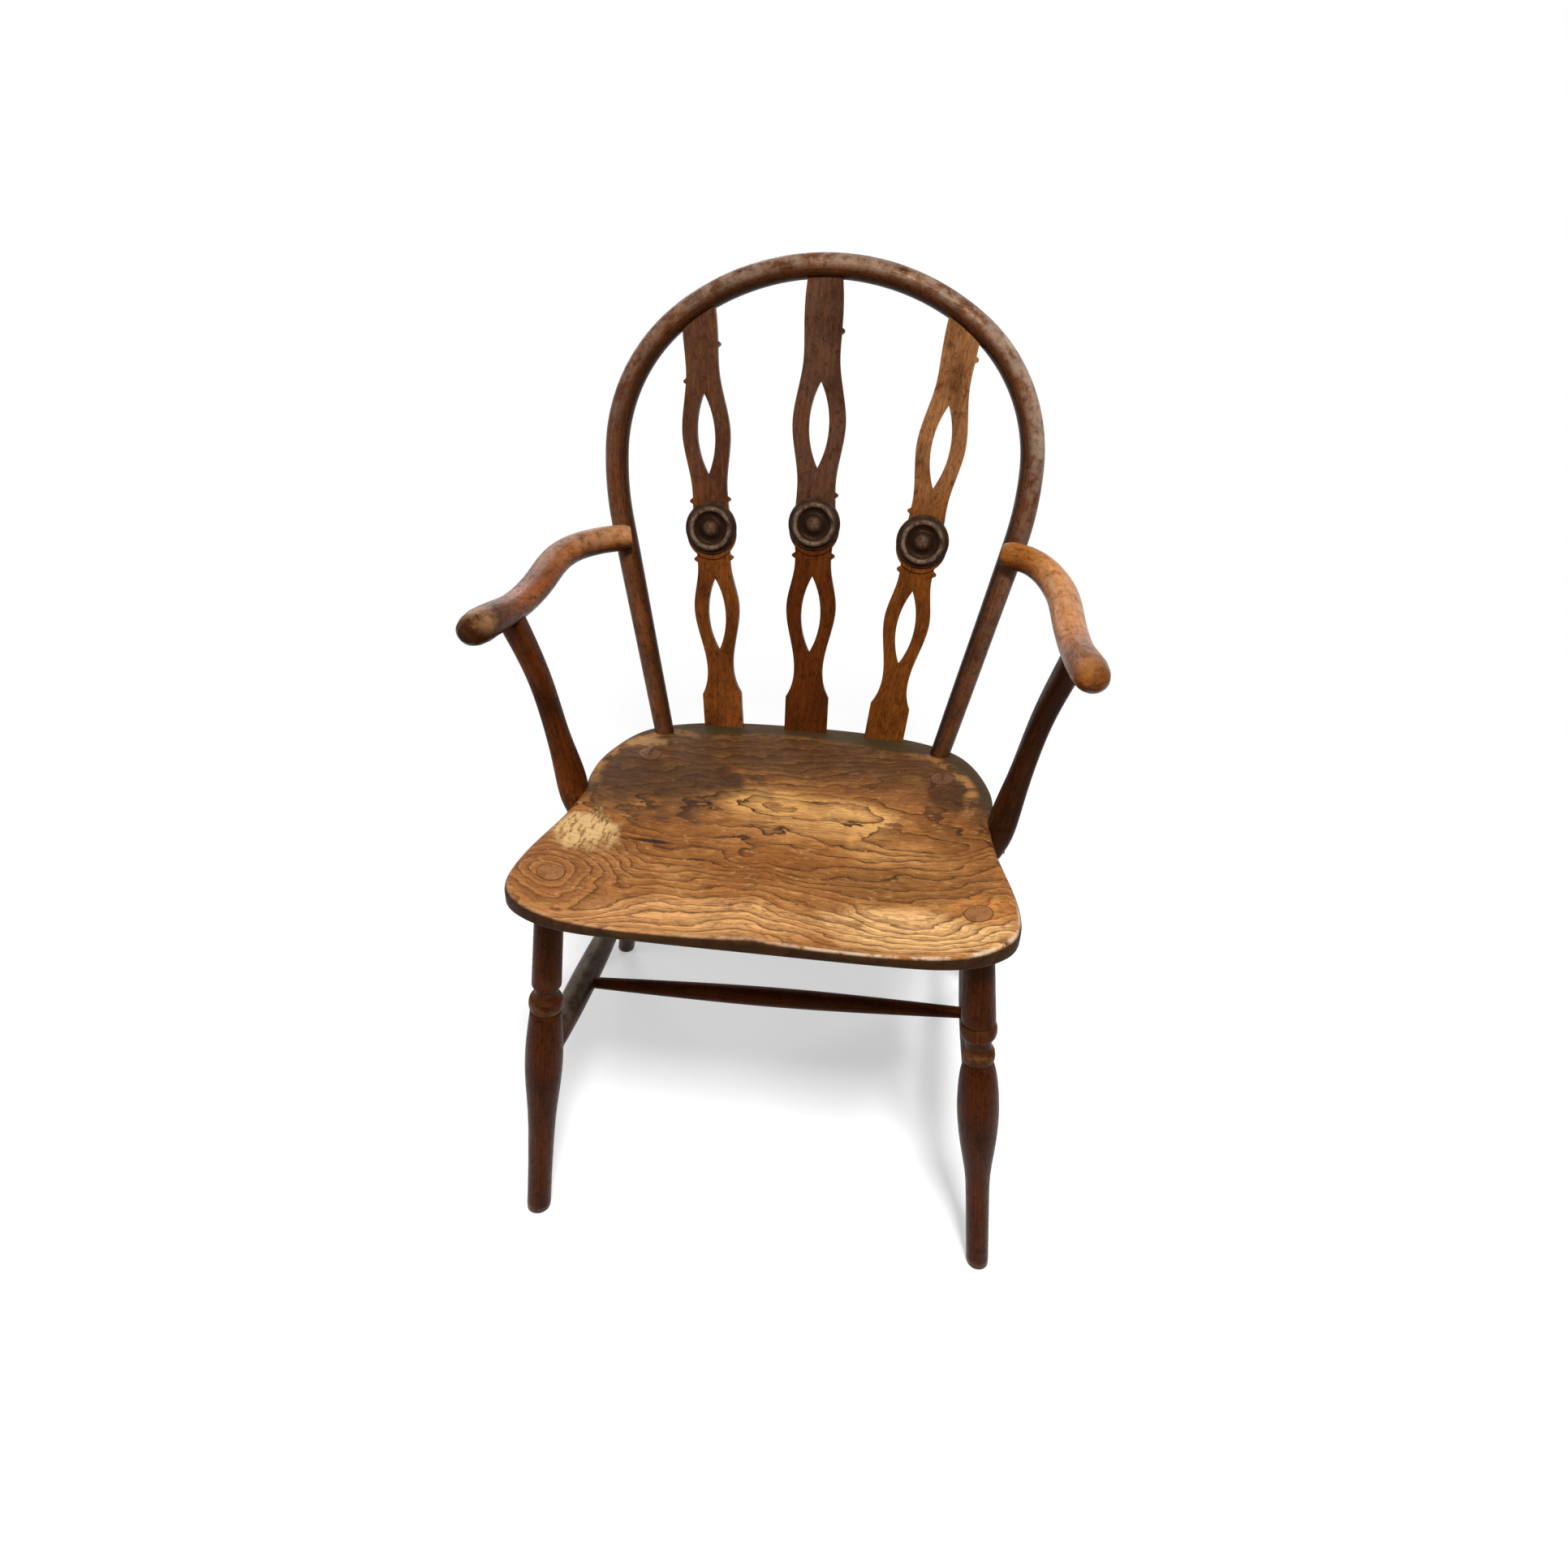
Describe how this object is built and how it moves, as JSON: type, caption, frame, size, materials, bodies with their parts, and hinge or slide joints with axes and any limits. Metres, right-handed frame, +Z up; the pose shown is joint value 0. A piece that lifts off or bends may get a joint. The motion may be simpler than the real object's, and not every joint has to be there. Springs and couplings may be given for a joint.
{
  "type": "roundel-back windsor armchair",
  "caption": "Wooden armchair with a bent bow, fretted splats with turned roundels, saddled seat and turned legs joined by stretchers.",
  "frame": {"origin": "on the floor, under the middle of the whole chair's bounding box", "axes": "+Z up, +X to the right of someone who looks at the chair's front, +Y from the front towards the back"},
  "size_m": [0.526, 0.5445, 0.885],
  "materials": {
    "seat": "oiled and waxed elm with a bold figure, worn",
    "front_leg_left": "dark red-brown stained and waxed",
    "front_leg_right": "dark red-brown stained and waxed",
    "rear_leg_left": "dark red-brown stained and waxed",
    "rear_leg_right": "dark red-brown stained and waxed",
    "side_stretcher_left": "dark stained and waxed, worn on top",
    "side_stretcher_right": "dark stained and waxed, worn on top",
    "cross_stretcher": "dark stained and waxed",
    "bow": "mid brown stained and waxed, worn pale on the crest",
    "bow_wedges": "pale unstained wood",
    "leg_wedges": "brown waxed end grain",
    "splat_left": "brown stained and waxed, redder at the top",
    "splat_centre": "brown stained and waxed, redder at the top",
    "splat_right": "brown stained and waxed, more orange below",
    "roundel_left": "dark turned wood, worn pale on the ring",
    "roundel_centre": "dark turned wood, worn pale on the ring",
    "roundel_right": "dark turned wood, worn pale on the ring",
    "arm_left": "light orange-brown, polished by hands, dark at the hand end",
    "arm_right": "light orange-brown, polished by hands, dark at the hand end",
    "arm_post_left": "dark brown stained and waxed",
    "arm_post_right": "very dark brown stained and waxed",
    "arm_screws": "dulled steel",
    "post_screws": "dulled steel"
  },
  "bodies": {
    "root": {"seat": "seat", "front_leg_left": "front_leg_left", "front_leg_right": "front_leg_right", "rear_leg_left": "rear_leg_left", "rear_leg_right": "rear_leg_right", "side_stretcher_left": "side_stretcher_left", "side_stretcher_right": "side_stretcher_right", "cross_stretcher": "cross_stretcher", "bow": "bow", "bow_wedges": "bow_wedges", "leg_wedges": "leg_wedges", "splat_left": "splat_left", "splat_centre": "splat_centre", "splat_right": "splat_right", "roundel_left": "roundel_left", "roundel_centre": "roundel_centre", "roundel_right": "roundel_right", "arm_left": "arm_left", "arm_right": "arm_right", "arm_post_left": "arm_post_left", "arm_post_right": "arm_post_right", "arm_screws": "arm_screws", "post_screws": "post_screws"}
  },
  "joints": []
}
